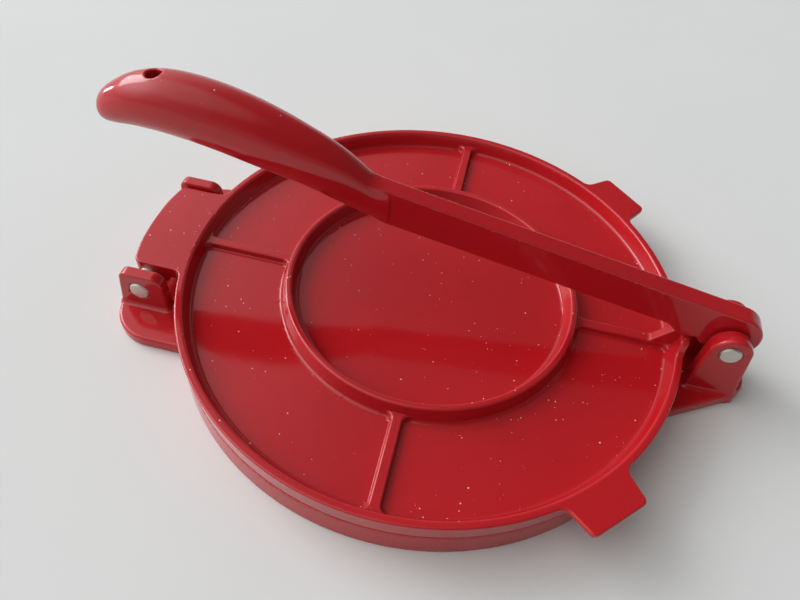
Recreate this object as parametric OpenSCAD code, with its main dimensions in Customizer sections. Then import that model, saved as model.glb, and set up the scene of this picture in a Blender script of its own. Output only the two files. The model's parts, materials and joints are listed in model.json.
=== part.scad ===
// Tortilla press: two cast platens, hinged along one side and squeezed by a cast lever.
// X runs from the hinge to the lever's pivot, Y runs away along the pins and Z is up.
// The origin is on the table, under the middle of the round platens. Millimetres.

/* [Platens] */
// Radius of the upper platen at its top edge
platen_r = 100; // [90:1:112]
// Height of the upper platen's rim above the table
press_h = 20.5; // [19:0.5:24]
// Height of the lower platen
base_h = 11.5; // [10.5:0.5:12.5]
// Seam left between the two platens when closed
seam = 0.2; // [0.1:0.05:0.4]
// How far the outer walls lean in over their height
wall_draft = 0.6; // [0.2:0.1:1]
// Width of the upper rim along its top
rim_w = 2.9; // [2.4:0.1:4]
// Depth of the pockets between the rim, ring and ribs
pocket_depth = 6.3; // [5.5:0.1:6.8]
// How far the foot of the rim's inner wall runs in past its top
rim_root = 2.2; // [1:0.1:4]

/* [Ring and ribs] */
// Radius of the ring, at the middle of its top
ring_r = 57.2; // [48:0.2:66]
// Width of the ring along its top
ring_w = 2.3; // [1.8:0.1:4]
// Width of the ring where it meets the floor
ring_root_w = 5.9; // [4.2:0.1:9]
// Width of a rib along its top
rib_w = 3.3; // [2:0.1:5]
// Width of a rib where it meets the floor
rib_root_w = 5; // [5:0.1:8]
// How far the ribs stay below the rim
rib_drop = 3.8; // [1:0.1:4.5]

/* [Tabs on the upper platen] */
// Angle of each tab away from the lever's side
tab_angle = 46; // [35:1:60]
// How far a tab reaches past the rim
tab_reach = 11.2; // [8:0.2:15]
// Width of a tab at its end
tab_w = 23.2; // [18:0.2:30]
// How much wider a tab is where it leaves the rim
tab_flare = 3.6; // [1:0.2:6]
// Thickness of a tab
tab_t = 2.6; // [2.2:0.1:6]
// Corner radius of a tab
tab_corner = 2; // [1:0.1:4]

/* [Lever bearing] */
// Width of the raised lug on the rim, along its top
lug_w = 14; // [10:0.5:20]
// Height of the lug above the rim
lug_h = 5; // [3.5:0.1:6]
// How much wider the lug is at its foot
lug_flare = 4; // [1:0.5:8]
// Width of the gusset that runs from a rib up to the lug
gusset_w = 3.3; // [2:0.1:6]
// How far the gusset reaches in past the rim, where it leaves the rib
gusset_run = 9; // [5:0.2:14]
// How far the gusset's top reaches in past the rim
gusset_top = 2.6; // [0.5:0.1:4]
// Gap between the lever's heel and the lug
heel_gap = 0.2; // [0.1:0.05:0.5]

/* [Lower platen] */
// Thickness of the plate that the dough lies on
plate_t = 3.5; // [2.5:0.1:4.5]
// Thickness of the outer wall under the plate
skirt_t = 3.4; // [2.5:0.1:5]
// How far the ring and ribs underneath stay off the table
rest_relief = 0.5; // [0.3:0.1:1.5]
// Thickness of the feet that carry the ears
foot_t = 5; // [4:0.1:5.2]

/* [Pins] */
// Diameter of both pins
pin_d = 8; // [6:0.5:9]
// How far a pin stands out of the ears at each end
pin_proud = 0.4; // [0.2:0.1:1]
// Chamfer on the ends of a pin
pin_chamfer = 0.5; // [0.2:0.1:1]
// Bite of a pin in the ears, on the radius
pin_bite = 0.01; // [0.01:0.01:0.02]
// Running clearance of a pin in what turns on it, on the radius
pin_run = 0.07; // [0.03:0.01:0.08]

/* [Hinge] */
// Distance of the hinge pin from the middle of the platens
hinge_x = 111; // [109.5:0.5:114]
// Height of the hinge pin above the table
hinge_z = 13.8; // [13.6:0.1:14.4]
// Radius of the knuckle round the hinge pin
knuckle_r = 8; // [7:0.1:8.2]
// Thickness of the tongue's plate between the rim and the knuckle
tongue_t = 6; // [4.5:0.1:7]
// How far the tongue's outer edge reaches past the pin
tongue_out = 8.6; // [8.4:0.1:9.6]
// Radius of the arc along the tongue's outer edge
tongue_arc_r = 83; // [70:1:110]
// Length of the knuckle and the tongue along the pin
knuckle_l = 46.2; // [40:0.2:52]
// How far the knuckle's middle sits off the platens' middle
knuckle_shift = 0.2; // [-2:0.1:2]
// Play between the knuckle and the near ear
play_near = 4.4; // [2:0.1:7]
// Play between the knuckle and the far ear
play_far = 0.4; // [0.3:0.1:4]
// Thickness of each hinge ear
hinge_ear_t = 4.7; // [4:0.1:7]
// Width of a hinge ear across the pin
hinge_ear_w = 18; // [15:0.2:20]
// How far a hinge ear's middle sits from the pin, towards the platens
hinge_ear_shift = 1.5; // [0:0.1:1.6]
// Height of a hinge ear above the pin
hinge_ear_up = 8.7; // [7.6:0.1:10]
// Small corner radius of a hinge ear, at its outer side
hinge_ear_r_out = 3.5; // [2:0.1:5]
// Corner radius of a hinge ear, at the platen's side
hinge_ear_r_in = 4.6; // [3:0.1:7.4]
// How much the outer side of a hinge ear runs out towards its foot
hinge_ear_lean = 2.3; // [0.5:0.1:4]
// How far the hinge foot reaches past the outer ears at each end
hinge_foot_end = 15.3; // [14:0.1:24]
// Corner radius of the hinge foot
hinge_foot_r = 17; // [8:0.5:18]
// Thickness of the hinge foot where the tongue swings over it
hinge_foot_relief = 2; // [1:0.1:2.4]

/* [Lever bracket] */
// Distance of the lever's pin from the middle of the platens
pivot_x = 113.3; // [112.5:0.1:118]
// Height of the lever's pin above the table
pivot_z = 28.4; // [28:0.1:31]
// Thickness of each bracket ear
bracket_ear_t = 6.2; // [4:0.1:8]
// Play between the lever and each bracket ear
lever_play = 0.6; // [0.4:0.1:2.5]
// Radius of the ears round the pin
bracket_ear_r = 7.7; // [6.5:0.1:9]
// How far the outer side of a bracket ear runs out to its foot
bracket_ear_lean = 4; // [1:0.1:6]
// Radius of the nose of the bracket foot
bracket_nose_r = 12.6; // [11:0.2:14]
// Distance of the nose's centre past the lever's pin
bracket_nose_out = 4.3; // [2:0.1:9]
// Flare of the bracket foot towards the platen, in degrees
bracket_flare = 30; // [15:1:40]

/* [Lever] */
// Thickness of the arm
lever_t = 8; // [6:0.2:10]
// Height of the arm's upper edge above the pin, measured over the pin
arm_top = 12.7; // [11.5:0.1:14]
// Depth of the arm, measured over the pin
arm_depth = 14.95; // [12:0.05:15.5]
// Slope of the upper edge
arm_top_slope = 0.1855; // [0.15:0.005:0.22]
// Slope of the lower edge
arm_low_slope = 0.176; // [0.16:0.002:0.2]
// Length of the arm from the pin to the grip
arm_l = 130; // [126:1:132]
// Length of the arm's tail that runs on inside the grip
tail_l = 22; // [16:1:26]
// How far the tail's middle rises over its length
tail_rise = 9.4; // [7:0.2:10]
// Depth of the tail at its end
tail_depth = 15; // [10:0.2:16]
// Radius of the lever's round end
end_r = 10.6; // [10:0.1:11.6]
// Height of the round end's centre above the pin
end_up = 1.6; // [0.4:0.1:1.8]
// How far the round end's centre sits from the pin, towards the arm
end_back = 0.3; // [0:0.1:1]
// Radius of the heel that bears on the lug
heel_r = 4; // [3:0.1:4.4]
// Distance of the heel's centre from the pin
heel_out = 15.8; // [15:0.1:17]
// Length over which the arm's lower edge runs down into the heel
heel_run = 6.8; // [5:0.2:12]
// Diameter of the hanging hole
hang_d = 5.5; // [4:0.1:7]
// Distance of the hanging hole from the pin
hang_out = 216; // [206:1:222]

/* [Hidden] */
smooth = 160;
red = "#a8131c";
alloy = "#b9b4a8";
// A cut runs this far past what it cuts, and a welded root this far into what carries it
over = 1;
rib_count = 4;
// Directions in which the heel's round meets the arm's lower edge and the round end
heel_from = 252;
heel_to = 323;
// Direction in which the round end meets the heel
end_from = 200;
// Direction in which the tongue's outer edge runs into the knuckle
barrel_from = 200;
// Corners that join these rounds lie this far inside them
sink = 0.3;
lid_z = base_h + seam;
floor_z = press_h - pocket_depth;
pin_r = pin_d / 2;
base_top_r = platen_r - wall_draft;
skirt_in_r = base_top_r - skirt_t;
lid_low_r = platen_r - wall_draft;
knuckle_lo = knuckle_shift - knuckle_l / 2;
knuckle_hi = knuckle_shift + knuckle_l / 2;
hinge_lo = knuckle_lo - play_near - hinge_ear_t;
hinge_hi = knuckle_hi + play_far + hinge_ear_t;
lever_half = lever_t / 2;
bracket_in = lever_half + lever_play;
bracket_out = bracket_in + bracket_ear_t;
nose_x = pivot_x + bracket_nose_out;
// The grip's sections: distance out from the pin, height over it, half width and half depth
grip = [
    [125, 27.8, 3.1, 6.9],
    [138, 32.4, 5, 8.9],
    [150, 37.2, 6.9, 10.3],
    [165, 43.2, 8.8, 11.3],
    [181, 48.3, 10.3, 11.9],
    [197, 52.1, 10.6, 11.8],
    [212, 53.6, 10, 11.3],
    [224, 52.4, 8.6, 9.8],
    [233, 49.3, 6.4, 7.8],
    [238.5, 46.8, 4, 5.3],
    [241, 45.6, 1.3, 1.6]
];
// Rings lofted between two sections of the grip, and points on a ring
grip_steps = 3;
grip_points = 32;
// Squareness of the grip's first section; it fades to a plain ellipse over this length
grip_square = 4;
grip_fade = 40;

// A straight bar of a trapezoid section, root down, along +X
module drafted_bar(from, to, top_w, root_w, low, high)
    translate([from, 0, 0])
        rotate([90, 0, 90])
            linear_extrude(height = to - from)
                polygon([[-root_w / 2, low], [root_w / 2, low], [top_w / 2, high], [-top_w / 2, high]]);

// A ring of a trapezoid section
module drafted_ring(mid_r, top_w, root_w, low, high)
    rotate_extrude($fn = smooth)
        polygon([
            [mid_r - root_w / 2, low], [mid_r + root_w / 2, low],
            [mid_r + top_w / 2, high], [mid_r - top_w / 2, high]
        ]);

// A solid from an outline in X and Z, between two values of Y
module slab(y_low, y_high)
    translate([0, y_high, 0])
        rotate([90, 0, 0])
            linear_extrude(height = y_high - y_low)
                children();

// A cylinder along Y
module along_y(x, z, r, y_low, y_high)
    translate([x, y_high, z])
        rotate([90, 0, 0])
            cylinder(h = y_high - y_low, r = r, $fn = smooth);

// A turned pin along Y with chamfered ends
module turned_pin(x, z, y_low, y_high)
    translate([x, y_high, z])
        rotate([90, 0, 0])
            rotate_extrude($fn = smooth)
                polygon([
                    [0, 0], [pin_r - pin_chamfer, 0], [pin_r, pin_chamfer],
                    [pin_r, y_high - y_low - pin_chamfer],
                    [pin_r - pin_chamfer, y_high - y_low], [0, y_high - y_low]
                ]);

// Outline of a hinge ear, flat on top with two round corners
module hinge_ear_outline() {
    out_x = -hinge_x - hinge_ear_w / 2 + hinge_ear_shift;
    in_x = -hinge_x + hinge_ear_w / 2 + hinge_ear_shift;
    top_z = hinge_z + hinge_ear_up;
    polygon([
        [out_x - hinge_ear_lean, foot_t - over],
        [out_x, top_z - hinge_ear_r_out],
        [out_x + hinge_ear_r_out, top_z],
        [in_x - hinge_ear_r_in, top_z],
        [in_x, top_z - hinge_ear_r_in],
        [in_x, foot_t - over]
    ]);
    translate([out_x + hinge_ear_r_out, top_z - hinge_ear_r_out])
        circle(r = hinge_ear_r_out, $fn = smooth);
    translate([in_x - hinge_ear_r_in, top_z - hinge_ear_r_in])
        circle(r = hinge_ear_r_in, $fn = smooth);
}

// Outline of a bracket ear, round about the pin and leaning out to its foot
module bracket_ear_outline() {
    lean = atan(bracket_ear_lean / (pivot_z - foot_t));
    translate([pivot_x, pivot_z])
        circle(r = bracket_ear_r, $fn = smooth);
    polygon([
        [pivot_x - bracket_ear_r, foot_t - over],
        [pivot_x - bracket_ear_r, pivot_z],
        [pivot_x + bracket_ear_r * cos(lean), pivot_z + bracket_ear_r * sin(lean)],
        [pivot_x + bracket_ear_r / cos(lean) + bracket_ear_lean, foot_t - over]
    ]);
}

// Plan of the foot under the hinge ears, with its two outer corners rounded
module hinge_foot_plan() {
    out_x = -hinge_x - hinge_ear_w / 2 + hinge_ear_shift - hinge_ear_lean;
    y_low = hinge_lo - hinge_foot_end;
    y_high = hinge_hi + hinge_foot_end;
    translate([out_x + hinge_foot_r, y_low])
        square([-out_x - hinge_foot_r - platen_r / 2, y_high - y_low]);
    translate([out_x, y_low + hinge_foot_r])
        square([hinge_foot_r + over, y_high - y_low - 2 * hinge_foot_r]);
    for (y = [y_low + hinge_foot_r, y_high - hinge_foot_r])
        translate([out_x + hinge_foot_r, y])
            circle(r = hinge_foot_r, $fn = smooth);
}

// Plan of the foot under the bracket ears: a round nose that flares towards the platen
module bracket_foot_plan() {
    touch_x = nose_x + bracket_nose_r * sin(bracket_flare);
    touch_y = bracket_nose_r * cos(bracket_flare);
    root_x = platen_r / 2;
    root_y = touch_y + (touch_x - root_x) * tan(bracket_flare);
    translate([nose_x, 0])
        circle(r = bracket_nose_r, $fn = smooth);
    polygon([[root_x, -root_y], [touch_x, -touch_y], [touch_x, touch_y], [root_x, root_y]]);
}

// The two feet end inside the skirt's wall, so the hollow underneath stays open
module feet() {
    difference() {
        linear_extrude(height = foot_t) {
            hinge_foot_plan();
            bracket_foot_plan();
        }
        translate([0, 0, -over])
            cylinder(h = foot_t + 2 * over, r = skirt_in_r + over, $fn = smooth);
        translate([-hinge_x - hinge_foot_r, hinge_lo + hinge_ear_t, hinge_foot_relief])
            cube([hinge_foot_r + hinge_x - platen_r - over, hinge_hi - hinge_lo - 2 * hinge_ear_t, foot_t]);
    }
}

// Shell of the lower platen: the plate, its skirt and the ring and ribs under it
module base_shell() {
    plate_low = base_h - plate_t;
    rotate_extrude($fn = smooth)
        polygon([
            [0, plate_low], [skirt_in_r, plate_low], [skirt_in_r, 0],
            [platen_r, 0], [base_top_r, base_h], [0, base_h]
        ]);
    rotate_extrude($fn = smooth)
        polygon([
            [ring_r - ring_w / 2, rest_relief], [ring_r + ring_w / 2, rest_relief],
            [ring_r + ring_root_w / 2, plate_low + over], [ring_r - ring_root_w / 2, plate_low + over]
        ]);
    for (i = [0:rib_count - 1])
        rotate([0, 0, i * 360 / rib_count])
            drafted_bar(ring_r, skirt_in_r + over, rib_root_w, rib_w, rest_relief, plate_low + over);
}

module lower_platen() {
    color(red)
        difference() {
            union() {
                base_shell();
                feet();
                slab(hinge_lo, hinge_lo + hinge_ear_t) hinge_ear_outline();
                slab(hinge_hi - hinge_ear_t, hinge_hi) hinge_ear_outline();
                slab(-bracket_out, -bracket_in) bracket_ear_outline();
                slab(bracket_in, bracket_out) bracket_ear_outline();
            }
            along_y(-hinge_x, hinge_z, pin_r - pin_bite, hinge_lo - over, hinge_hi + over);
            along_y(pivot_x, pivot_z, pin_r - pin_bite, -bracket_out - over, bracket_out + over);
        }
}

// Dish of the upper platen: a thin plate inside a deep rim
module lid_dish() {
    rim_in = platen_r - rim_w;
    rotate_extrude($fn = smooth)
        polygon([
            [0, lid_z], [lid_low_r, lid_z], [platen_r, press_h],
            [rim_in, press_h], [rim_in - rim_root, floor_z], [0, floor_z]
        ]);
    drafted_ring(ring_r, ring_w, ring_root_w, floor_z - over, press_h);
    for (i = [0:rib_count - 1])
        rotate([0, 0, i * 360 / rib_count])
            drafted_bar(ring_r, rim_in + over, rib_w, rib_root_w, floor_z - over, press_h - rib_drop);
}

// One flat tab, pointing along +X
module lid_tab() {
    end_x = platen_r + tab_reach;
    root_x = platen_r - over;
    half = tab_w / 2;
    translate([0, 0, press_h - tab_t])
        linear_extrude(height = tab_t) {
            polygon([
                [root_x, -half - tab_flare / 2], [end_x - tab_corner, -half],
                [end_x, -half + tab_corner], [end_x, half - tab_corner],
                [end_x - tab_corner, half], [root_x, half + tab_flare / 2]
            ]);
            for (side = [-1, 1])
                translate([end_x - tab_corner, side * (half - tab_corner)])
                    circle(r = tab_corner, $fn = smooth);
        }
}

// The lug that stands on the rim under the lever's heel
module lid_lug() {
    intersection() {
        translate([0, 0, press_h - over])
            difference() {
                cylinder(h = lug_h + over, r = platen_r, $fn = smooth);
                translate([0, 0, -over])
                    cylinder(h = lug_h + 3 * over, r = platen_r - rim_w, $fn = smooth);
            }
        drafted_bar(platen_r / 2, platen_r + over, lug_w, lug_w + lug_flare, press_h - over,
            press_h + lug_h);
    }
}

// The gusset behind the lug: it ramps up from the rib to the top of the lug
module lid_gusset() {
    rim_in = platen_r - rim_w;
    slab(-gusset_w / 2, gusset_w / 2)
        polygon([
            [rim_in - gusset_run, floor_z - over], [rim_in - gusset_run, press_h - rib_drop],
            [rim_in - gusset_top, press_h + lug_h], [rim_in + over, press_h + lug_h],
            [rim_in + over, floor_z - over]
        ]);
}

// The tongue: a flat plate that leaves the rim, closes round the hinge pin and ends in an arc
module lid_tongue() {
    out_x = -hinge_x - tongue_out;
    low_z = press_h - tongue_t;
    barrel = knuckle_r - sink;
    intersection() {
        union() {
            along_y(-hinge_x, hinge_z, knuckle_r, knuckle_lo, knuckle_hi);
            slab(knuckle_lo, knuckle_hi)
                polygon([
                    [-hinge_x, low_z], [-platen_r + rim_w + over, low_z],
                    [-platen_r + rim_w + over, press_h], [out_x, press_h], [out_x, hinge_z + over],
                    [-hinge_x + barrel * cos(barrel_from), hinge_z + barrel * sin(barrel_from)]
                ]);
        }
        translate([out_x + tongue_arc_r, knuckle_shift, 0])
            cylinder(h = press_h, r = tongue_arc_r, $fn = smooth);
    }
}

module upper_platen() {
    color(red)
        difference() {
            union() {
                lid_dish();
                for (side = [-1, 1])
                    rotate([0, 0, side * tab_angle])
                        lid_tab();
                lid_lug();
                lid_gusset();
                difference() {
                    lid_tongue();
                    translate([0, 0, floor_z])
                        cylinder(h = press_h, r = platen_r - rim_w, $fn = smooth);
                }
            }
            along_y(-hinge_x, hinge_z, pin_r + pin_run, knuckle_lo - over, knuckle_hi + over);
        }
}

// Side view of the arm with its round end and heel, from the pin at the origin
module arm_outline() {
    heel_low = press_h + lug_h + heel_gap - pivot_z;
    heel_z = heel_low + heel_r;
    low_at_pin = arm_top - arm_depth;
    heel_in = heel_r - sink;
    end_in = end_r - sink;
    heel_x0 = -heel_out + heel_in * cos(heel_from);
    heel_z0 = heel_z + heel_in * sin(heel_from);
    run_x = heel_x0 - heel_run;
    end_top = arm_top + arm_top_slope * arm_l;
    end_low = low_at_pin + arm_low_slope * arm_l;
    tail_mid = (end_top + end_low) / 2 + tail_rise;
    polygon([
        [0, arm_top], [-arm_l, end_top],
        [-arm_l - tail_l, tail_mid + tail_depth / 2], [-arm_l - tail_l, tail_mid - tail_depth / 2],
        [-arm_l, end_low], [run_x, low_at_pin - arm_low_slope * run_x],
        [heel_x0, heel_z0], [-heel_out, heel_z], [0, 0]
    ]);
    translate([-end_back, end_up])
        circle(r = end_r, $fn = smooth);
    translate([-heel_out, heel_z])
        circle(r = heel_r, $fn = smooth);
    polygon([
        [-heel_out, heel_z], [-heel_out + heel_in * cos(heel_to), heel_z + heel_in * sin(heel_to)],
        [-end_back + end_in * cos(end_from), end_up + end_in * sin(end_from)], [0, 0]
    ]);
}

// Smooth value of one column of the grip's sections, at a place counted in sections
function grip_at(place, column) =
    let (last = len(grip) - 1, i = min(floor(place), last - 1), t = place - i,
        a = grip[max(i - 1, 0)][column], b = grip[i][column],
        c = grip[i + 1][column], d = grip[min(i + 2, last)][column])
    b + t * ((c - a) + t * ((2 * a - 5 * b + 4 * c - d) + t * (3 * b - a - 3 * c + d))) / 2;

// One point on the grip's surface: square by the arm and round further out
function grip_point(place, turn) =
    let (out = grip_at(place, 0), fade = max(0, 1 - (out - grip[0][0]) / grip_fade),
        power = 2 / (2 + (grip_square - 2) * fade), c = cos(turn), s = sin(turn))
    [-out, grip_at(place, 2) * sign(c) * pow(abs(c), power),
        grip_at(place, 1) + grip_at(place, 3) * sign(s) * pow(abs(s), power)];

// The grip as one lofted body
module grip_body() {
    rings = (len(grip) - 1) * grip_steps;
    m = grip_points;
    points = [for (i = [0:rings]) for (j = [0:m - 1]) grip_point(i / grip_steps, 360 * j / m)];
    sides = [for (i = [0:rings - 1]) for (j = [0:m - 1]) let (k = (j + 1) % m)
        each [[i * m + j, i * m + k, (i + 1) * m + k], [i * m + j, (i + 1) * m + k, (i + 1) * m + j]]];
    near_cap = [[for (j = [m - 1:-1:0]) j]];
    far_cap = [[for (j = [0:m - 1]) rings * m + j]];
    polyhedron(points = points, faces = concat(sides, near_cap, far_cap));
}

module lever() {
    color(red)
        translate([pivot_x, 0, pivot_z])
            difference() {
                union() {
                    slab(-lever_half, lever_half) arm_outline();
                    grip_body();
                }
                along_y(0, 0, pin_r + pin_run, -lever_half - over, lever_half + over);
                translate([-hang_out, 0, 0])
                    cylinder(h = arm_l, r = hang_d / 2, $fn = smooth);
            }
}

module hinge_pin() {
    color(alloy)
        turned_pin(-hinge_x, hinge_z, hinge_lo - pin_proud, hinge_hi + pin_proud);
}

module lever_pin() {
    color(alloy)
        turned_pin(pivot_x, pivot_z, -bracket_out - pin_proud, bracket_out + pin_proud);
}

lower_platen();
upper_platen();
lever();
hinge_pin();
lever_pin();
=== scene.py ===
import json
import math

import bpy
import numpy as np
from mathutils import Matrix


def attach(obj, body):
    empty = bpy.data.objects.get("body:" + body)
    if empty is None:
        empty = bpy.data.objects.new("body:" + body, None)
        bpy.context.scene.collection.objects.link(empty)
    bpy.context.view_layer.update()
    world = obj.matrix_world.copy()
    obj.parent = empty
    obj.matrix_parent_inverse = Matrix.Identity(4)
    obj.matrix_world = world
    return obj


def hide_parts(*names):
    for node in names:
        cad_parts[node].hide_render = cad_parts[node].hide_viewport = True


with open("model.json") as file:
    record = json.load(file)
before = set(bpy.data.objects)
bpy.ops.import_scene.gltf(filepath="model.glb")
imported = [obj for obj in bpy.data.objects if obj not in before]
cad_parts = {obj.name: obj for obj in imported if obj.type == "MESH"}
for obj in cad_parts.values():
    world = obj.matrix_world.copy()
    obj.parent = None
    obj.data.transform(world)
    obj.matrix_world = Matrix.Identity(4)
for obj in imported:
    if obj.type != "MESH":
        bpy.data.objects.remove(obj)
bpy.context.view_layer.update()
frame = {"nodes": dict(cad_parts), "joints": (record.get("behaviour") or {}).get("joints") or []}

import openvdb
from mathutils import Matrix, Vector

scene = bpy.context.scene
scene.view_settings.view_transform = "Standard"


# ---- Camera ----
# Held by hand in front of the press and above it, and fitted to its rim, ring and base circles.
# The azimuth counts from +Y towards +X, and the roll is the tilt of the hand.
SENSOR_WIDTH = 36
NEAREST = 0.005


def place_camera(azimuth, elevation, roll, place, lens):
    az, el, ro = (math.radians(v) for v in (azimuth, elevation, roll))
    ahead = Vector((math.sin(az) * math.cos(el), math.cos(az) * math.cos(el), -math.sin(el)))
    right = Vector((math.cos(az), -math.sin(az), 0))
    up = right.cross(ahead)
    side = math.cos(ro) * right + math.sin(ro) * up
    top = -math.sin(ro) * right + math.cos(ro) * up
    turn = Matrix((side, top, -ahead)).transposed().to_4x4()
    cam = bpy.data.objects.new("camera", bpy.data.cameras.new("camera"))
    cam.data.sensor_width = SENSOR_WIDTH
    cam.data.lens = lens
    cam.data.clip_start = NEAREST
    cam.matrix_world = Matrix.Translation(place) @ turn
    scene.collection.objects.link(cam)
    scene.camera = cam


place_camera(azimuth=-7.73, elevation=50.57, roll=6.70, place=(0.011409, -0.173958, 0.218246), lens=29.496)


# ---- Table and light ----
# A plain pale table top in a room with a wide window off the left side, a small low pane beside
# it, pale walls and a dim ceiling.
TABLE_HALF = 15
TABLE_DARK, TABLE_PALE = (0.70, 0.70, 0.69, 1), (0.74, 0.74, 0.725, 1)
TABLE_ROUGHNESS, TABLE_SHINE = 0.8, 0.3
COOL_LIGHT, WARM_LIGHT = (0.94, 0.97, 1, 1), (1, 0.95, 0.84, 1)


def new_material(name):
    """A new material and its Principled skin."""
    mat = bpy.data.materials.new(name)
    mat.use_nodes = True
    return mat, mat.node_tree.nodes["Principled BSDF"]


def put(tree, socket, value):
    """Links the socket to another one, or sets it to a constant."""
    if isinstance(value, bpy.types.NodeSocket):
        tree.links.new(value, socket)
    else:
        socket.default_value = value


def add_node(tree, kind, settings=None, **values):
    """A new node, with its settings, and what goes into each named socket."""
    node = tree.nodes.new(kind)
    for key, value in (settings or {}).items():
        setattr(node, key, value)
    for key, value in values.items():
        put(tree, node.inputs[key], value)
    return node


def reckon(tree, what, *values):
    """The answer of one Math node, such as MULTIPLY."""
    node = add_node(tree, "ShaderNodeMath", {"operation": what})
    for socket, value in zip(node.inputs, values):
        put(tree, socket, value)
    return node.outputs[0]


def ramp_of(tree, value, low, high, to_low=0.0, to_high=1.0):
    """The value brought smoothly from low..high to the two given ends."""
    node = add_node(tree, "ShaderNodeMapRange", {"interpolation_type": "SMOOTHSTEP"})
    for socket, number in zip(node.inputs, (value, low, high, to_low, to_high)):
        put(tree, socket, number)
    return node.outputs[0]


def mottle_of(tree, place, per_metre, detail, **more):
    """Smooth blotches between 0 and 1, so many to the metre."""
    noise = add_node(tree, "ShaderNodeTexNoise", Vector=place, Scale=per_metre, Detail=detail, **more)
    return noise.outputs[0]


def blended(tree, share, a, b):
    """Colour a, with the given share of colour b."""
    node = add_node(tree, "ShaderNodeMix", {"data_type": "RGBA"})
    factor, colour_a, colour_b, colour_out = node.inputs[0], node.inputs[6], node.inputs[7], node.outputs[2]
    put(tree, factor, share)
    put(tree, colour_a, a)
    put(tree, colour_b, b)
    return colour_out


def add_table(half):
    mesh = bpy.data.meshes.new("table")
    corners = [(-half, -half, 0), (half, -half, 0), (half, half, 0), (-half, half, 0)]
    mesh.from_pydata(corners, [], [(0, 1, 2, 3)])
    table = bpy.data.objects.new("table", mesh)
    scene.collection.objects.link(table)
    mat, skin = new_material("table")
    tree = mat.node_tree
    place = add_node(tree, "ShaderNodeTexCoord").outputs["Object"]
    mottle = mottle_of(tree, place, per_metre=9.0, detail=3.0)
    put(tree, skin.inputs["Base Color"], blended(tree, mottle, TABLE_DARK, TABLE_PALE))
    skin.inputs["Roughness"].default_value = TABLE_ROUGHNESS
    skin.inputs["Specular IOR Level"].default_value = TABLE_SHINE
    mesh.materials.append(mat)


def add_window(name, place, width, height, power, colour):
    """A soft lamp that faces the press from its place. Only the paint shows it, not the picture."""
    lamp = bpy.data.lights.new(name, "AREA")
    lamp.shape = "RECTANGLE"
    lamp.size, lamp.size_y = width, height
    lamp.energy = power
    lamp.color = colour
    o = bpy.data.objects.new(name, lamp)
    o.location = place
    o.rotation_euler = (-Vector(place)).to_track_quat("-Z", "Y").to_euler()
    o.visible_camera = False
    scene.collection.objects.link(o)


def add_room(window_glow, pane_glow, ceiling_glow, wall_glow, gloom, shade, warm_glow):
    """The room's light by direction. A ramp runs between two cosines of the angle to its direction."""
    world = bpy.data.worlds.new("room")
    world.use_nodes = True
    tree = world.node_tree
    way = add_node(tree, "ShaderNodeTexCoord").outputs["Generated"]

    def towards(x, y, z):
        node = add_node(tree, "ShaderNodeVectorMath", {"operation": "DOT_PRODUCT"})
        put(tree, node.inputs[0], way)
        node.inputs[1].default_value = Vector((x, y, z)).normalized()
        return node.outputs["Value"]

    left, up = towards(-1, 0, 0), towards(0, 0, 1)
    broad = ramp_of(tree, left, 0.0, 0.55, 0, window_glow)
    bright = ramp_of(tree, left, 0.45, 0.9, 0, pane_glow)
    window_side = reckon(tree, "MULTIPLY", reckon(tree, "ADD", broad, bright), ramp_of(tree, up, 0.0, 0.6))
    low_wall = ramp_of(tree, up, 0.1, 0.4, wall_glow, 0)
    ceiling = ramp_of(tree, left, -0.3, 0.1, 0, ceiling_glow)
    overhead = reckon(tree, "ADD", ceiling, gloom)
    cool = reckon(tree, "ADD", reckon(tree, "ADD", window_side, low_wall), overhead)
    in_front = ramp_of(tree, towards(0.2, -1, 0.1), 0.0, 0.8, 1, shade)
    cool = reckon(tree, "MULTIPLY", cool, in_front)
    warm = ramp_of(tree, towards(-0.4, -0.3, 1), 0.78, 0.96, 0, warm_glow)
    glow = reckon(tree, "ADD", cool, warm)
    sky = tree.nodes["Background"]
    put(tree, sky.inputs["Color"], blended(tree, reckon(tree, "DIVIDE", warm, glow), COOL_LIGHT, WARM_LIGHT))
    put(tree, sky.inputs["Strength"], glow)
    scene.world = world


add_table(TABLE_HALF)
add_window("window", place=(-2.85, 0.95, 1.75), width=1.8, height=1.8, power=50, colour=(0.97, 0.985, 1))
add_window("low pane", place=(-2.9, 0.66, 0.24), width=0.3, height=0.34, power=6, colour=(1, 1, 1))
add_room(window_glow=0.95, pane_glow=2.28, ceiling_glow=0.15, wall_glow=0.42, gloom=0.12, shade=0.6,
         warm_glow=0.6)


# ---- Red enamel, shared by the three castings ----
# Sand-cast aluminium under one thick coat of glossy red paint. The skin is slightly wavy, the
# paint runs thin over the edges and pools in the corners, with a painted highlight on the edges and
# painted shade in the corners, and dust specks lie on what faces up.
PAINT_DEEP, PAINT_FULL = (0.43, 0.0085, 0.0125, 1), (0.48, 0.0105, 0.0150, 1)
# The pooled colour is thick paint and painted shade in the corners; the thin colour is thin paint and a
# painted highlight on the edges.
PAINT_POOLED_AND_SHADED, PAINT_THIN_AND_LIT = (0.30, 0.006, 0.009, 1), (0.56, 0.030, 0.036, 1)
EDGE_PAINT_AND_LIGHT_SHARE = 0.3
DUST_PALE = (0.85, 0.66, 0.55, 1)
DUST_DULL, CLOUD_DULL = 0.4, 0.05


def new_group(name, takes, gives):
    """A shader node group, with named inputs and their defaults (None for a place) and its outputs."""
    group = bpy.data.node_groups.new(name, "ShaderNodeTree")
    for key, value in takes.items():
        kind = "NodeSocketVector" if value is None else "NodeSocketFloat"
        socket = group.interface.new_socket(key, in_out="INPUT", socket_type=kind)
        if value is not None:
            socket.default_value = value
    for key in gives:
        group.interface.new_socket(key, in_out="OUTPUT", socket_type="NodeSocketFloat")
    return group, group.nodes.new("NodeGroupInput").outputs, group.nodes.new("NodeGroupOutput").inputs


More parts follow.
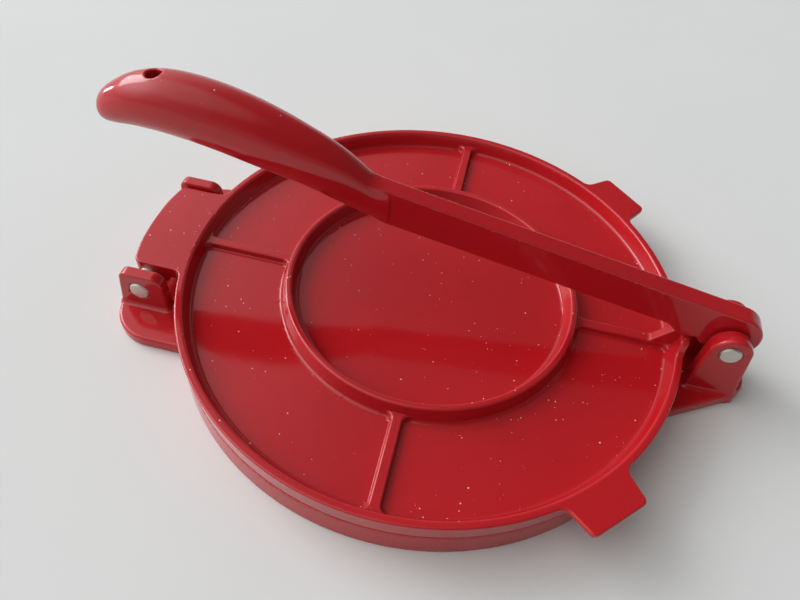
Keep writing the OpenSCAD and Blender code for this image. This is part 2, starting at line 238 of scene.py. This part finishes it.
def cast_skin_group():
    """Height of a painted sand casting: broad swells, and the fine peel of sprayed paint."""
    group, take, give = new_group("cast skin", {"Place": None, "Swell": 0.00012, "Peel": 0.000012},
                                  ["Height"])
    swell = mottle_of(group, take["Place"], per_metre=42.0, detail=2.0, Roughness=0.45)
    peel = mottle_of(group, take["Place"], per_metre=420.0, detail=1.0)
    high = reckon(group, "MULTIPLY", swell, take["Swell"])
    put(group, give["Height"], reckon(group, "MULTIPLY_ADD", peel, take["Peel"], high))
    return group


def dust_group():
    """Share of dust at each place: single specks, thicker in drifts, on what faces up."""
    group, take, give = new_group("dust", {"Place": None, "Specks": 0.4, "Speck size": 0.0005, "Drift": 0.0},
                                  ["Dust"])
    # One speck lies in a cell of its own. Most are small, and a few reach half the cell
    room_round_speck, least, spread, rarity = 0.6, 0.1, 0.36, 4.0
    cells_per_metre = reckon(group, "DIVIDE", room_round_speck, take["Speck size"])
    cell = add_node(group, "ShaderNodeTexVoronoi", Vector=take["Place"], Scale=cells_per_metre)
    chance = add_node(group, "ShaderNodeSeparateColor", Color=cell.outputs["Color"]).outputs
    size = reckon(group, "MULTIPLY_ADD", reckon(group, "POWER", chance[1], rarity), spread, least)
    speck = ramp_of(group, reckon(group, "DIVIDE", cell.outputs["Distance"], size), 0.5, 1.0, 1, 0)
    # How many cells hold one: more in patches, and more in the corners
    patch_contrast, corner_gain = 3.0, 3.0
    mottle = mottle_of(group, take["Place"], per_metre=26.0, detail=3.0)
    patch = reckon(group, "POWER", mottle, patch_contrast)
    corner = reckon(group, "MULTIPLY_ADD", take["Drift"], corner_gain, 1.0)
    share = reckon(group, "MULTIPLY", reckon(group, "MULTIPLY", take["Specks"], patch), corner)
    chosen = reckon(group, "LESS_THAN", chance[0], share)
    normal = add_node(group, "ShaderNodeNewGeometry").outputs["Normal"]
    upright = add_node(group, "ShaderNodeSeparateXYZ", Vector=normal).outputs["Z"]
    facing_up = ramp_of(group, upright, 0.6, 0.95)
    put(group, give["Dust"], reckon(group, "MULTIPLY", reckon(group, "MULTIPLY", speck, chosen), facing_up))
    return group


def paint_edge_and_light_group():
    """Where paint runs thin over edges or pools in corners, from the casting's own bend. The thin edges also
    carry a painted highlight and the pooled corners a painted shade.
    """
    group, take, give = new_group("paint edge and light", {"Place": None, "Bend": 0.0, "Ragged": 0.35},
                                  ["Thin", "Pooled and shaded"])
    noise = mottle_of(group, take["Place"], per_metre=180.0, detail=4.0)
    shift = reckon(group, "MULTIPLY", reckon(group, "SUBTRACT", noise, 0.5), take["Ragged"])
    bend = reckon(group, "ADD", take["Bend"], shift)
    put(group, give["Thin"], ramp_of(group, bend, 0.25, 1.0))
    put(group, give["Pooled and shaded"], ramp_of(group, bend, -0.2, -1.0))
    return group


CAST_SKIN, DUST, PAINT_EDGE_AND_LIGHT = cast_skin_group(), dust_group(), paint_edge_and_light_group()


def use_group(tree, group, **values):
    """The outputs of a group that is placed in a material."""
    node = add_node(tree, "ShaderNodeGroup", {"node_tree": group}, **values)
    return node.outputs


def red_enamel(name, specks, swell, roughness):
    """The paint of one casting: its dust, the height of its swells in metres, and its gloss."""
    mat, skin = new_material(name)
    tree = mat.node_tree
    place = add_node(tree, "ShaderNodeTexCoord").outputs["Object"]
    bend = add_node(tree, "ShaderNodeAttribute", {"attribute_name": "bend"}).outputs["Fac"]
    edge = use_group(tree, PAINT_EDGE_AND_LIGHT, Place=place, Bend=bend)
    dust = use_group(tree, DUST, Place=place, Specks=specks, Drift=edge["Pooled and shaded"])["Dust"]
    height = use_group(tree, CAST_SKIN, Place=place, Swell=swell)["Height"]
    cloud = mottle_of(tree, place, per_metre=16.0, detail=4.0)
    paint = blended(tree, ramp_of(tree, cloud, 0.35, 0.65), PAINT_DEEP, PAINT_FULL)
    # Corners darker as pooled paint and painted shade, edges lighter as thin paint and a painted highlight.
    paint = blended(tree, reckon(tree, "MULTIPLY", edge["Pooled and shaded"], EDGE_PAINT_AND_LIGHT_SHARE), paint, PAINT_POOLED_AND_SHADED)
    paint = blended(tree, reckon(tree, "MULTIPLY", edge["Thin"], EDGE_PAINT_AND_LIGHT_SHARE), paint, PAINT_THIN_AND_LIT)
    put(tree, skin.inputs["Base Color"], blended(tree, dust, paint, DUST_PALE))
    paint_roughness = reckon(tree, "MULTIPLY_ADD", cloud, CLOUD_DULL, roughness)
    put(tree, skin.inputs["Roughness"], reckon(tree, "MULTIPLY_ADD", dust, DUST_DULL, paint_roughness))
    bump = add_node(tree, "ShaderNodeBump", Strength=1.0, Distance=1.0, Height=height)
    put(tree, skin.inputs["Normal"], bump.outputs["Normal"])
    return mat


# ---- Lower platen ----
# The base casting, sand-cast in aluminium in one pour: a round platen on a skirt, a foot with two
# ears for the hinge pin, and a foot with two ears for the lever's pin. It stands on the table.
MM_PER_M = 1000

# How a casting is drawn: the empty cells round its grid and how deep a grid looks, the rounds that
# settle its points, the steps in millimetres that feel for its slope and bend, the least slopes,
# and a large face, in squares of a cell, with how far its corners' normals may stray from its own
MARGIN_CELLS, DEEP_CELLS = 2, 3
SETTLE_ROUNDS, PROBE, BEND_REACH = 2, 0.02, 0.6
LEAST_SLOPE, NO_SLOPE = 0.05, 1e-9
LARGE_FACE, LARGE_FACE_STRAY = 1.6, math.radians(4)


def weld(a, b, fillet):
    """What lies in either shape, with a hollow fillet of that radius between them."""
    hollow = np.hypot(np.maximum(fillet - a, 0), np.maximum(fillet - b, 0))
    return np.maximum(np.minimum(a, b), fillet) - hollow


def trim(a, b, edge):
    """What lies in both shapes, with the edge between them rounded to that radius."""
    rounding = np.hypot(np.maximum(edge + a, 0), np.maximum(edge + b, 0))
    return np.minimum(np.maximum(a, b), -edge) + rounding


def leaning(across, narrow, narrow_z, wide, wide_z, z):
    """Distance out from a wall that leans from narrow to wide between two heights."""
    slope = (wide - narrow) / (wide_z - narrow_z)
    return (across - narrow - slope * (z - narrow_z)) / math.hypot(1, slope)


def both_ways(shape, points, step):
    """The shape's depth a step ahead of each point and a step behind it, along x, y and z."""
    return [(shape(*(points + move).T), shape(*(points - move).T)) for move in step * np.eye(3)]


def steepest(shape, points):
    """The way out of the metal at each point, by how fast the depth changes."""
    return np.stack([(ahead - behind) / (2 * PROBE) for ahead, behind in both_ways(shape, points, PROBE)], 1)


def cast_surface(shape, low, high, cell):
    """Points on a casting's surface and the faces between them, from a grid of that cell size."""
    start = np.array(low, np.float32) - MARGIN_CELLS * cell
    count = np.ceil((np.array(high) - low) / cell).astype(int) + 2 * MARGIN_CELLS + 1
    x, y, z = (start[i] + cell * np.arange(count[i], dtype=np.float32) for i in range(3))
    depth = shape(x[:, None, None], y[None, :, None], z[None, None, :]).astype(np.float32)
    far = DEEP_CELLS * cell
    grid = openvdb.FloatGrid(far)
    grid.copyFromArray(np.clip(np.broadcast_to(depth, count), -far, far))
    points, threes, fours = grid.convertToPolygons(isovalue=0, adaptivity=0.001)
    points = points.astype(np.float64) * cell + start
    for _ in range(SETTLE_ROUNDS):
        slope = steepest(shape, points)
        steep = np.maximum((slope ** 2).sum(1), LEAST_SLOPE)
        points -= slope * np.clip(shape(*points.T) / steep, -cell / 2, cell / 2)[:, None]
    return points, threes.tolist() + fours.tolist()


def keep_flats_flat(mesh, normals, cell):
    """Corner normals of a casting. A large face keeps its own where it runs up to a fillet."""
    corner, sides = np.empty(len(mesh.loops), int), np.empty(len(mesh.polygons), int)
    flat, area = np.empty(len(mesh.polygons) * 3), np.empty(len(mesh.polygons))
    mesh.loops.foreach_get("vertex_index", corner)
    for key, into in (("loop_total", sides), ("normal", flat), ("area", area)):
        mesh.polygons.foreach_get(key, into)
    flat = np.repeat(flat.reshape(-1, 3), sides, 0)
    large = np.repeat(area > LARGE_FACE * (cell / MM_PER_M) ** 2, sides)
    turned = normals[corner]
    stray = large & ((turned * flat).sum(1) < math.cos(LARGE_FACE_STRAY))
    turned[stray] = flat[stray]
    mesh.normals_split_custom_set(turned.tolist())


def cast_piece(name, shape, low, high, cell, material):
    """A casting inside a box. shape(x, y, z) is below zero in the metal, all in millimetres."""
    points, faces = cast_surface(shape, low, high, cell)
    normals = steepest(shape, points)
    normals /= np.maximum(np.linalg.norm(normals, axis=1), NO_SLOPE)[:, None]
    around = sum(ahead + behind for ahead, behind in both_ways(shape, points, BEND_REACH))
    bend = (around - 6 * shape(*points.T)) / BEND_REACH ** 2
    bend = np.clip(bend, -1, 1).astype(np.float32)
    mesh = bpy.data.meshes.new(name)
    mesh.from_pydata((points / MM_PER_M).tolist(), [], faces)
    mesh.attributes.new("bend", "FLOAT", "POINT").data.foreach_set("value", bend)
    mesh.polygons.foreach_set("use_smooth", [True] * len(mesh.polygons))
    keep_flats_flat(mesh, normals, cell)
    mesh.materials.append(material)
    o = bpy.data.objects.new(name, mesh)
    scene.collection.objects.link(o)
    return o


# Both pins' middles, from the joints, and the sizes that more than one casting has
JOINT_AT = {joint["name"]: joint["pos_m"] for joint in frame["joints"]}
HINGE_X, HINGE_Z = (MM_PER_M * JOINT_AT["lid_hinge"][i] for i in (0, 2))
PIVOT_X, PIVOT_Z = (MM_PER_M * JOINT_AT["lever_swing"][i] for i in (0, 2))
PIN_R, RUNNING_PLAY, TIGHT_PLAY = 4, 0.07, 0.08
PLATEN_R, DRAFT_R = 100, 99.4
RING_R, RING_HALF, RING_ROOT_HALF = 57.2, 1.15, 2.95

# The platen and its hollow, with the same ring and ribs as on the lid
BASE_TOP, HOLLOW_TOP = 11.5, 8
HOLLOW_R, HOLLOW_FOOT_R = 95.7, 96.3
UNDER_FOOT, UNDER_END = 0.5, 10
UNDER_RIB_HALF, UNDER_RIB_ROOT_HALF = 1.65, 2.5
UNDER_RIB_FROM, UNDER_RIB_TO = 58.5, 97

# The feet: the hinge's is square with round corners, the bracket's narrows to a round nose, and
# its flanks leave the round at the flare's place
FOOT_TOP, FOOT_FROM_R = 5, 93
HINGE_FOOT_X, HINGE_FOOT_NEAR, HINGE_FOOT_FAR, HINGE_FOOT_CORNER = -120.8, -47.3, 43.7, 17
RELIEF_X, RELIEF_Y, RELIEF_HALF_X, RELIEF_HALF_Y, RELIEF_Z = -112, -1.8, 10.5, 25.5, 2
NOSE_X, NOSE_R = 117.6, 12.6
FLARE_X, FLARE_Y, FLARE_TURN = 123.9, 10.91, math.radians(30)

# The ears: the hinge's lean out below a height, the bracket's are round at the top
HINGE_EAR_OUT, HINGE_EAR_IN, HINGE_EAR_TOP = -118.5, -100.5, 22.5
HINGE_EAR_LEAN, HINGE_EAR_LEAN_TOP = 2.3 / 15, 19
HINGE_EAR_NEAR, HINGE_EAR_FAR, HINGE_EAR_HALF = -29.65, 26.05, 2.35
BRACKET_EAR_R, BRACKET_EAR_LEAN = 7.7, math.radians(9.7)
BRACKET_EAR_Y, BRACKET_EAR_HALF = 7.7, 3.1
EAR_FOOT = 1


def ring_wall(r, top_z, root_z, z):
    return leaning(abs(r - RING_R), RING_HALF, top_z, RING_ROOT_HALF, root_z, z)


def each_rib(x, y):
    """Places along and across the four ribs, folded on to one."""
    a, b = abs(x), abs(y)
    return np.maximum(a, b), np.minimum(a, b)


def pin_bore(x, z, play, at_x, at_z):
    return np.hypot(x - at_x, z - at_z) - PIN_R - play


def base_plate(x, y, z):
    r = np.hypot(x, y)
    disc = leaning(r, DRAFT_R, BASE_TOP, PLATEN_R, 0, z)
    disc = trim(trim(disc, z - BASE_TOP, edge=0.9), -z, edge=0.6)
    hollow = trim(leaning(r, HOLLOW_R, HOLLOW_TOP, HOLLOW_FOOT_R, 0, z), z - HOLLOW_TOP, edge=2)
    metal = trim(disc, -hollow, edge=0.8)
    ring = trim(ring_wall(r, UNDER_FOOT, HOLLOW_TOP, z), UNDER_FOOT - z, edge=0.8)
    metal = weld(metal, np.maximum(ring, z - UNDER_END), fillet=1.5)
    along, across = each_rib(x, y)
    rib = leaning(across, UNDER_RIB_HALF, UNDER_FOOT, UNDER_RIB_ROOT_HALF, HOLLOW_TOP, z)
    rib = np.maximum(trim(rib, UNDER_FOOT - z, edge=0.8), UNDER_RIB_FROM - along)
    return weld(metal, np.maximum(rib, np.maximum(along - UNDER_RIB_TO, z - UNDER_END)), fillet=1.5)


def base_feet(x, y, z):
    square = trim(HINGE_FOOT_X - x, y - HINGE_FOOT_FAR, edge=HINGE_FOOT_CORNER)
    square = trim(square, HINGE_FOOT_NEAR - y, edge=HINGE_FOOT_CORNER)
    out, side = x - FLARE_X, abs(y) - FLARE_Y
    c, s = math.cos(FLARE_TURN), math.sin(FLARE_TURN)
    nose = np.where(out * c > side * s, np.hypot(x - NOSE_X, y) - NOSE_R, side * c + out * s)
    feet = trim(np.where(x < 0, square, nose), z - FOOT_TOP, edge=1.4)
    feet = trim(trim(feet, -z, edge=0.6), FOOT_FROM_R - np.hypot(x, y), edge=1)
    # The foot is thin under the tongue, which turns close over it
    relief = trim(abs(y - RELIEF_Y) - RELIEF_HALF_Y, RELIEF_Z - z, edge=1)
    return np.maximum(feet, -trim(relief, abs(x - RELIEF_X) - RELIEF_HALF_X, edge=1))


def base_ears(x, y, z):
    lean_out = np.minimum(0, z - HINGE_EAR_LEAN_TOP) * HINGE_EAR_LEAN
    hinge = trim(HINGE_EAR_OUT + lean_out - x, z - HINGE_EAR_TOP, edge=3.5)
    hinge = trim(hinge, x - HINGE_EAR_IN, edge=4.6)
    aside = np.minimum(abs(y - HINGE_EAR_NEAR), abs(y - HINGE_EAR_FAR))
    hinge = trim(hinge, aside - HINGE_EAR_HALF, edge=0.9)
    u, w = x - PIVOT_X, z - PIVOT_Z
    back = u * math.cos(BRACKET_EAR_LEAN) + w * math.sin(BRACKET_EAR_LEAN)
    below = np.maximum(-u, back) - BRACKET_EAR_R
    round_top = np.hypot(u, w) - BRACKET_EAR_R
    bracket = np.where(w > np.maximum(u, 0) * math.tan(BRACKET_EAR_LEAN), round_top, below)
    bracket = trim(bracket, abs(abs(y) - BRACKET_EAR_Y) - BRACKET_EAR_HALF, edge=1.1)
    return np.maximum(np.where(x < 0, hinge, bracket), EAR_FOOT - z)


def base_shape(x, y, z):
    mounts = weld(base_feet(x, y, z), base_ears(x, y, z), fillet=2)
    metal = np.maximum(weld(base_plate(x, y, z), mounts, fillet=2), -z)
    for at_x, at_z in ((HINGE_X, HINGE_Z), (PIVOT_X, PIVOT_Z)):
        metal = trim(metal, -pin_bore(x, z, TIGHT_PLAY, at_x, at_z), edge=0.35)
    return metal


base = cast_piece("lower_platen", base_shape, low=(-121, -100.2, 0), high=(130.4, 100.2, 36.4), cell=0.6,
                  material=red_enamel("red enamel on the base", specks=0.15, swell=0.0002, roughness=0.10))
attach(base, "base")
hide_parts("lower_platen")


# ---- Upper platen ----
# The lid casting, sand-cast in one pour: a round platen with a raised rim, a ring, four low ribs,
# two flat tabs, the tongue that closes round the hinge pin, and the lug under the lever's heel.
LID_FOOT, DISH_FLOOR, RIB_TOP, RIM_TOP, LUG_TOP = 11.7, 14.2, 16.7, 20.5, 25.5
RIM_FLOOR_R, RIM_IN_R = 94.9, 97.1
RIB_HALF, RIB_ROOT_HALF, RIB_FROM, RIB_TO = 1.85, 2.3, 57, 98
TAB_TURNS, TAB_FROM, TAB_WIDE_AT, TAB_TO = (-46, 46), 90, 99, 111.2
TAB_HALF, TAB_END_HALF, TAB_DEEP = 13.4, 11.6, 2.6

# The tongue: a barrel round the pin with a flat outer side, and a plate that ends in an arc
KNUCKLE_R, KNUCKLE_OUT, KNUCKLE_LOW = 8, 8.6, 2.5
KNUCKLE_FACET_X, KNUCKLE_FACET_Z, KNUCKLE_FACET_OUT = 0.937, 0.35, 7.7
TONGUE_FOOT, TONGUE_FROM, TONGUE_END = 14.5, -94, -118.5
TONGUE_Y, TONGUE_HALF, TONGUE_ARC_X, TONGUE_ARC_R = 0.2, 23.1, -36.6, 83

# The lug on the rim, and the gusset that ramps up to it from the rib. A stretch is how long a
# slope is for each millimetre along the level
LUG_HALF, LUG_ROOT_HALF, LUG_FROM = 7, 9, 80
GUSSET_HALF, GUSSET_FROM, GUSSET_TO = 1.9, 86, 98
GUSSET_RAMP_X, GUSSET_RAMP, GUSSET_STRETCH = 88.1, 1.375, 1.7

# The fillet round the dish's floor, which is least beside the ribs
ROOT_LEAST, ROOT_MORE, ROOT_FROM, ROOT_RUN = 0.3, 0.8, 3, 4


def lid_tabs(x, y, z):
    for turn in TAB_TURNS:
        c, s = math.cos(math.radians(turn)), math.sin(math.radians(turn))
        along, across = x * c + y * s, abs(y * c - x * s)
        sides = leaning(across, TAB_END_HALF, TAB_TO, TAB_HALF, TAB_WIDE_AT, along)
        plan = trim(sides, along - TAB_TO, edge=2)
        yield np.maximum(trim(plan, RIM_TOP - TAB_DEEP - z, edge=0.8), TAB_FROM - along)


def lid_tongue(x, y, z):
    u, w = x - HINGE_X, z - HINGE_Z
    plate = np.maximum(np.maximum(TONGUE_FOOT - z, x - TONGUE_FROM), TONGUE_END - x)
    tongue = weld(np.hypot(u, w) - KNUCKLE_R, plate, fillet=2)
    facet = -u * KNUCKLE_FACET_X - w * KNUCKLE_FACET_Z - KNUCKLE_FACET_OUT
    outer = np.maximum(np.maximum(-KNUCKLE_OUT - u, facet), np.maximum(u, -KNUCKLE_LOW - w))
    tongue = np.minimum(tongue, outer)
    arc = np.hypot(x - TONGUE_ARC_X, y - TONGUE_Y) - TONGUE_ARC_R
    plan = trim(arc, abs(y - TONGUE_Y) - TONGUE_HALF, edge=2.5)
    return trim(tongue, np.where(x < 0, plan, PLATEN_R), edge=1.2)


def lid_dish(x, y, z):
    """What stands over the dish's floor: the rim, ring, ribs and gusset, and the floor itself."""
    r = np.hypot(x, y)
    rim = -leaning(r, RIM_FLOOR_R, DISH_FLOOR, RIM_IN_R, RIM_TOP, np.minimum(z, RIM_TOP))
    walls = np.minimum(rim, ring_wall(r, RIM_TOP, DISH_FLOOR, z))
    along, across = each_rib(x, y)
    rib = leaning(across, RIB_HALF, RIB_TOP, RIB_ROOT_HALF, DISH_FLOOR, z)
    rib = np.maximum(np.maximum(rib, RIB_FROM - along), along - RIB_TO)
    low = trim(weld(walls, rib, fillet=3), z - RIB_TOP, edge=0.55)
    ramp = (z - RIB_TOP - (x - GUSSET_RAMP_X) * GUSSET_RAMP) / GUSSET_STRETCH
    gusset = np.maximum(np.maximum(abs(y) - GUSSET_HALF, x - GUSSET_TO), GUSSET_FROM - x)
    low = weld(low, trim(gusset, ramp, edge=0.5), fillet=0.8)
    root = ROOT_LEAST + ROOT_MORE * np.clip((across - ROOT_FROM) / ROOT_RUN, 0, 1)
    return weld(np.minimum(walls, low), z - DISH_FLOOR, fillet=root)


def lid_top(x, y, z):
    lug = trim(leaning(abs(y), LUG_HALF, LUG_TOP, LUG_ROOT_HALF, RIM_TOP, z), z - LUG_TOP, edge=1.2)
    return np.where(x > LUG_FROM, weld(z - RIM_TOP, lug, fillet=1.6), z - RIM_TOP)


def lid_shape(x, y, z):
    metal = leaning(np.hypot(x, y), DRAFT_R, LID_FOOT, PLATEN_R, RIM_TOP, z)
    for tab in lid_tabs(x, y, z):
        metal = weld(metal, tab, fillet=2.5)
    metal = weld(metal, lid_tongue(x, y, z), fillet=2.5)
    metal = np.maximum(metal, lid_dish(x, y, z))
    metal = trim(trim(metal, lid_top(x, y, z), edge=0.7), LID_FOOT - z, edge=0.6)
    return trim(metal, -pin_bore(x, z, RUNNING_PLAY, HINGE_X, HINGE_Z), edge=0.4)


lid = cast_piece("upper_platen", lid_shape, low=(-120, -100.2, 5.6), high=(100.2, 100.2, 25.8), cell=0.5,
                 material=red_enamel("red enamel on the lid", specks=0.26, swell=0.00015, roughness=0.08))
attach(lid, "lid")
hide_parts("upper_platen")


# ---- Lever ----
# One aluminium casting: a flat arm with a round end and a heel that bears on the lug, which grows
# into a round, drooping grip with a hanging hole. Places are counted out from the pin and over it.
ARM_TOP, ARM_TOP_SLOPE, ARM_LOW, ARM_LOW_SLOPE, ARM_STRETCH = 12.7, 0.1855, -2.25, 0.176, 1.02
ARM_SWEEP, ARM_SWEEP_FROM, ARM_BACK, ARM_TO = 0.3, 134, 1.7, 147
ARM_HALF, ARM_TAPER, ARM_TAPER_TO = 3.9, 0.0045, 130
END_OUT, END_UP, END_R = 0.3, 1.6, 10.95
HEEL_OUT, HEEL_UP, HEEL_R = 15.8, 1.3, 4
GRIP_FROM, GRIP_TO, GRIP_STEPS = 133, 241, 12
GRIP_SQUARE, GRIP_SQUARE_FADE = 0.8, 30
HANG_OUT, HANG_R = 216, 2.75

# Sections of the grip: how far out, how high its middle is, half its width and half its depth
GRIP = np.array([
    (128, 27.4, 3.6, 7), (134, 28.8, 4.1, 7.4), (139, 30.9, 4.8, 7.7), (146, 34.6, 6, 9.3),
    (153, 38.2, 7.2, 10.4), (165, 43.2, 8.8, 11.3), (181, 48.3, 10.3, 11.9), (197, 52.1, 10.6, 11.8),
    (212, 53.6, 10, 11.3), (224, 52.4, 8.6, 9.8), (233, 49.3, 6.4, 7.8), (238.5, 46.8, 4, 5.3),
    (241, 45.6, 1.3, 1.6)])


def between_sections(table, steps):
    """The table with smooth steps between its rows."""
    rows = np.vstack([table[:1], table, table[-1:]])
    out = []
    for i in range(1, len(rows) - 2):
        a, b, c, d = rows[i - 1: i + 3]
        for t in np.arange(steps) / steps:
            bent = (2 * a - 5 * b + 4 * c - d) + t * (3 * b - a - 3 * c + d)
            out.append(b + t * ((c - a) + t * bent) / 2)
    return np.array(out + [table[-1]])


GRIP_OUT, GRIP_MID, GRIP_WIDE, GRIP_DEEP = between_sections(GRIP, GRIP_STEPS).T


def lever_arm(u, y, w):
    high = ARM_TOP + ARM_TOP_SLOPE * u
    low = ARM_LOW + ARM_LOW_SLOPE * u + ARM_SWEEP * np.maximum(u - ARM_SWEEP_FROM, 0)
    band = np.maximum(w - high, low - w) / ARM_STRETCH
    band = np.maximum(band, np.maximum(-ARM_BACK - u, u - ARM_TO))
    end = np.hypot(u - END_OUT, w - END_UP) - END_R
    heel = np.hypot(u - HEEL_OUT, w - HEEL_UP) - HEEL_R
    side = weld(np.minimum(band, end), heel, fillet=5)
    return trim(side, abs(y) - (ARM_HALF - ARM_TAPER * np.clip(u, 0, ARM_TAPER_TO)), edge=1)


def lever_grip(u, y, w):
    mid, wide, deep = (np.interp(u, GRIP_OUT, column) for column in (GRIP_MID, GRIP_WIDE, GRIP_DEEP))
    # Squarish where it leaves the arm and round further out
    power = 2 + GRIP_SQUARE * np.clip(1 - (u - GRIP_FROM) / GRIP_SQUARE_FADE, 0, 1)
    out = (abs(y / wide) ** power + abs((w - mid) / deep) ** power) ** (1 / power)
    grip = (out - 1) * np.minimum(wide, deep)
    return np.maximum(trim(grip, GRIP_FROM - u, edge=0.5), u - GRIP_TO)


def lever_shape(x, y, z):
    u, w = PIVOT_X - x, z - PIVOT_Z
    metal = weld(lever_arm(u, y, w), lever_grip(u, y, w), fillet=1)
    metal = trim(metal, HANG_R - np.hypot(u - HANG_OUT, y), edge=0.9)
    return trim(metal, -pin_bore(x, z, RUNNING_PLAY, PIVOT_X, PIVOT_Z), edge=0.4)


lever = cast_piece("lever", lever_shape, low=(-128, -10.8, 25), high=(125, 10.8, 93.6), cell=0.5,
                   material=red_enamel("red enamel on the lever", specks=0.06, swell=0.0004, roughness=0.09))
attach(lever, "handle")
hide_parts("lever")


# ---- Pins ----
# Two plain rods of bare drawn alloy, pressed through the ears. Their ends are sawn off and rubbed
# flat, so they are dull, with fine rings and scratches.
ALLOY_DARK, ALLOY_PALE = (0.56, 0.53, 0.47, 1), (0.72, 0.69, 0.63, 1)
ALLOY_ROUGHNESS, ALLOY_SMEAR = 0.35, 0.25
RINGS_PER_M, RING_WOBBLE, RING_SHARE = 900.0, 2.0, 0.4
SCRATCH_DEPTH, SCRATCH_STRENGTH = 0.00002, 0.35


def bare_rod(name, axis_x, axis_z):
    """Bare alloy, with rings round a pin's axis as on a sawn end."""
    mat, skin = new_material(name)
    tree = mat.node_tree
    place = add_node(tree, "ShaderNodeTexCoord").outputs["Object"]
    split = add_node(tree, "ShaderNodeSeparateXYZ", Vector=place)
    across = reckon(tree, "SUBTRACT", split.outputs["X"], axis_x)
    above = reckon(tree, "SUBTRACT", split.outputs["Z"], axis_z)
    spot = add_node(tree, "ShaderNodeCombineXYZ", X=across, Y=above).outputs[0]
    rings = add_node(tree, "ShaderNodeTexWave", {"wave_type": "RINGS", "rings_direction": "SPHERICAL"},
                     Vector=spot, Scale=RINGS_PER_M, Distortion=RING_WOBBLE, Detail=2.0).outputs["Fac"]
    cloud = mottle_of(tree, place, per_metre=500.0, detail=4.0)
    put(tree, skin.inputs["Base Color"], blended(tree, cloud, ALLOY_DARK, ALLOY_PALE))
    skin.inputs["Metallic"].default_value = 1
    put(tree, skin.inputs["Roughness"], reckon(tree, "MULTIPLY_ADD", cloud, ALLOY_SMEAR, ALLOY_ROUGHNESS))
    height = reckon(tree, "MULTIPLY_ADD", rings, RING_SHARE, cloud)
    bump = add_node(tree, "ShaderNodeBump", Strength=SCRATCH_STRENGTH, Distance=SCRATCH_DEPTH, Height=height)
    put(tree, skin.inputs["Normal"], bump.outputs["Normal"])
    return mat


for node, at_x, at_z in (("hinge_pin", HINGE_X, HINGE_Z), ("lever_pin", PIVOT_X, PIVOT_Z)):
    finish = bare_rod("bare alloy of the " + node.replace("_", " "), at_x / MM_PER_M, at_z / MM_PER_M)
    for each in frame["nodes"][node].material_slots:
        each.material = finish
